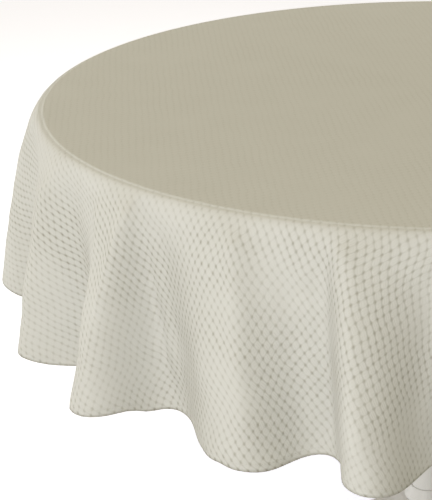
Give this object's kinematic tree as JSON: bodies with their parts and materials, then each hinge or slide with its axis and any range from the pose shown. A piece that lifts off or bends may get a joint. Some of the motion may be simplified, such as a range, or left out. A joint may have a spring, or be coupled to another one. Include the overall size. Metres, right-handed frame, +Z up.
{
  "type": "draped round tablecloth on a pedestal table",
  "caption": "Round ivory basket-weave cloth hanging in soft folds over a round table top, on a slim column with a cross base and screw-in levelling glides.",
  "frame": {"origin": "on the floor, under the middle of the round table", "axes": "+Z up; -Y is the front, and the cloth's folds are laid out round the table from there"},
  "size_m": [1.338, 1.3625, 0.7639],
  "materials": {
    "ivory_weave": "matt basket weave",
    "chipboard": "raw particle board",
    "laminate": "satin laminate",
    "beech": "satin lacquer",
    "black_iron": "matt black",
    "white_powder_coat": "satin powder coat",
    "white_iron": "satin powder coat",
    "zinc_steel": "bright zinc",
    "grey_plastic": "matt"
  },
  "bodies": {
    "table": {"core_board": "chipboard", "top_laminate": "laminate", "edge_lipping": "beech", "spider_plate": "black_iron", "column_tube": "white_powder_coat", "column_collar": "white_powder_coat", "tie_rod": "zinc_steel", "upper_nut": "zinc_steel", "lower_nut": "zinc_steel", "upper_washer": "zinc_steel", "lower_washer": "zinc_steel", "cross_base": "white_iron", "top_screw_1": "zinc_steel", "top_screw_2": "zinc_steel", "top_screw_3": "zinc_steel", "top_screw_4": "zinc_steel", "top_screw_5": "zinc_steel", "top_screw_6": "zinc_steel", "top_screw_7": "zinc_steel", "top_screw_8": "zinc_steel"},
    "cloth": {"tablecloth": "ivory_weave"},
    "pad_1": {"glide_pad_1": "grey_plastic"},
    "stud_1": {"glide_stud_1": "zinc_steel"},
    "pad_2": {"glide_pad_2": "grey_plastic"},
    "stud_2": {"glide_stud_2": "zinc_steel"},
    "pad_3": {"glide_pad_3": "grey_plastic"},
    "stud_3": {"glide_stud_3": "zinc_steel"},
    "pad_4": {"glide_pad_4": "grey_plastic"},
    "stud_4": {"glide_stud_4": "zinc_steel"}
  },
  "joints": [
    {"name": "cloth_lift", "type": "slide", "parent": "table", "child": "cloth", "axis": [0, 0, 1], "range_m": [0, 0.4]},
    {"name": "glide_1_travel", "type": "slide", "parent": "table", "child": "pad_1", "axis": [0, 0, -1], "range_m": [0, 0.012]},
    {"name": "glide_1_turn", "type": "hinge", "parent": "pad_1", "child": "stud_1", "pos_m": [0.36796, 0.17158, 0.006], "axis": [0, 0, -1], "range_deg": [0, 3456]},
    {"name": "glide_2_travel", "type": "slide", "parent": "table", "child": "pad_2", "axis": [0, 0, -1], "range_m": [0, 0.012]},
    {"name": "glide_2_turn", "type": "hinge", "parent": "pad_2", "child": "stud_2", "pos_m": [-0.17158, 0.36796, 0.006], "axis": [0, 0, -1], "range_deg": [0, 3456]},
    {"name": "glide_3_travel", "type": "slide", "parent": "table", "child": "pad_3", "axis": [0, 0, -1], "range_m": [0, 0.012]},
    {"name": "glide_3_turn", "type": "hinge", "parent": "pad_3", "child": "stud_3", "pos_m": [-0.36796, -0.17158, 0.006], "axis": [0, 0, -1], "range_deg": [0, 3456]},
    {"name": "glide_4_travel", "type": "slide", "parent": "table", "child": "pad_4", "axis": [0, 0, -1], "range_m": [0, 0.012]},
    {"name": "glide_4_turn", "type": "hinge", "parent": "pad_4", "child": "stud_4", "pos_m": [0.17158, -0.36796, 0.006], "axis": [0, 0, -1], "range_deg": [0, 3456]}
  ],
  "couplings": [
    {"joint": "glide_1_travel", "follows": "glide_1_turn", "m_per_rad": 0.00019894},
    {"joint": "glide_2_travel", "follows": "glide_2_turn", "m_per_rad": 0.00019894},
    {"joint": "glide_3_travel", "follows": "glide_3_turn", "m_per_rad": 0.00019894},
    {"joint": "glide_4_travel", "follows": "glide_4_turn", "m_per_rad": 0.00019894}
  ]
}
